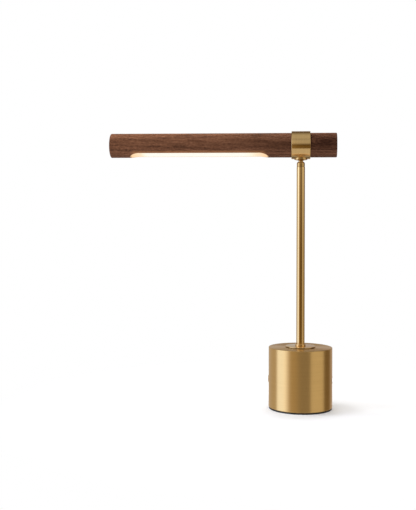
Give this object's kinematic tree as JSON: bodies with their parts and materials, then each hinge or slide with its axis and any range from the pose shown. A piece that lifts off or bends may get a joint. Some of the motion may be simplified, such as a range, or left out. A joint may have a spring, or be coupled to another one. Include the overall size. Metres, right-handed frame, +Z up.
{
  "type": "desk lamp",
  "caption": "Desk lamp with a turning, rolling walnut light bar in a brass collar on a slim brass pole over a weighted brass drum base.",
  "frame": {"origin": "under the drum base, on the pole's axis, where the foot pad meets the table", "axes": "+Z up along the pole, +X along the bar towards its short arm, -Y the front, where the light is rolled towards"},
  "size_m": [0.2945, 0.0814, 0.3556],
  "materials": {
    "brushed_brass": "satin, brushed around the axis, clear-lacquered",
    "turned_brass": "turned and polished, lacquered",
    "bush_brass": "machined, bare",
    "walnut": "oiled, satin, straight grain",
    "black_pad": "matt",
    "black_plate": "black zinc plated steel",
    "cast_iron": "as cast, painted",
    "zinc_steel": "zinc plated",
    "black_plastic": "moulded",
    "white_plastic": "moulded",
    "liner": "self-lubricating sheet",
    "aluminium": "extruded, natural",
    "green_board": "solder mask over glass fibre board",
    "white_board": "white solder mask over aluminium board",
    "emitter": "phosphor-filled silicone",
    "opal_cover": "opal, lit from inside, warm white",
    "gold": "gold flash",
    "can_blue": "sleeved aluminium can",
    "coil": "enamelled copper wire on a ferrite drum",
    "lead_jacket": "soft insulation"
  },
  "bodies": {
    "base": {"foot_pad": "black_pad", "base_plate": "black_plate", "base_screws": "zinc_steel", "base_weight": "cast_iron", "base_shell": "brushed_brass", "pillars": "zinc_steel", "clamp_plate": "zinc_steel", "clamp_washer": "zinc_steel", "clamp_nut": "zinc_steel", "nipple": "bush_brass", "pole_disc": "turned_brass", "pole_bead": "turned_brass", "pole_tube": "turned_brass", "swivel_bush": "bush_brass", "seam_washer": "black_plastic", "circuit_board": "green_board", "board_standoffs": "bush_brass", "board_screws": "zinc_steel", "control_chips": "black_plastic", "capacitors": "can_blue", "power_coil": "coil", "switch_body": "black_plastic", "button_ring": "turned_brass", "usb_shell": "zinc_steel", "usb_tongue": "white_plastic", "usb_contacts": "gold", "usb_ring": "turned_brass", "inlet_body": "black_plastic", "inlet_pin": "zinc_steel", "inlet_ring": "turned_brass", "lead_plug": "white_plastic", "pole_lead": "lead_jacket"},
    "head": {"swivel_stem": "turned_brass", "saddle": "turned_brass", "collar_ring": "brushed_brass", "collar_liner": "liner", "stop_pin": "zinc_steel", "disc_springs": "zinc_steel", "spindle_nut": "zinc_steel", "head_lead": "lead_jacket"},
    "bar": {"walnut_bar": "walnut", "light_channel": "aluminium", "light_board": "white_board", "light_emitters": "emitter", "light_cover": "opal_cover", "channel_screws": "zinc_steel", "bar_lead": "lead_jacket"},
    "button": {"button_cap": "turned_brass", "button_plunger": "white_plastic"}
  },
  "joints": [
    {"name": "head_swivel", "type": "hinge", "parent": "base", "child": "head", "pos_m": [0, 0, 0.3091], "axis": [0, 0, 1], "range_deg": [-160, 160]},
    {"name": "bar_roll", "type": "hinge", "parent": "head", "child": "bar", "pos_m": [0, 0, 0.33754], "axis": [1, 0, 0], "range_deg": [-38, 62]},
    {"name": "button_press", "type": "slide", "parent": "base", "child": "button", "axis": [1, 0, 0], "range_m": [0, 0.0006], "stiffness_N_per_m": 2000, "springref_m": -0.0004}
  ]
}
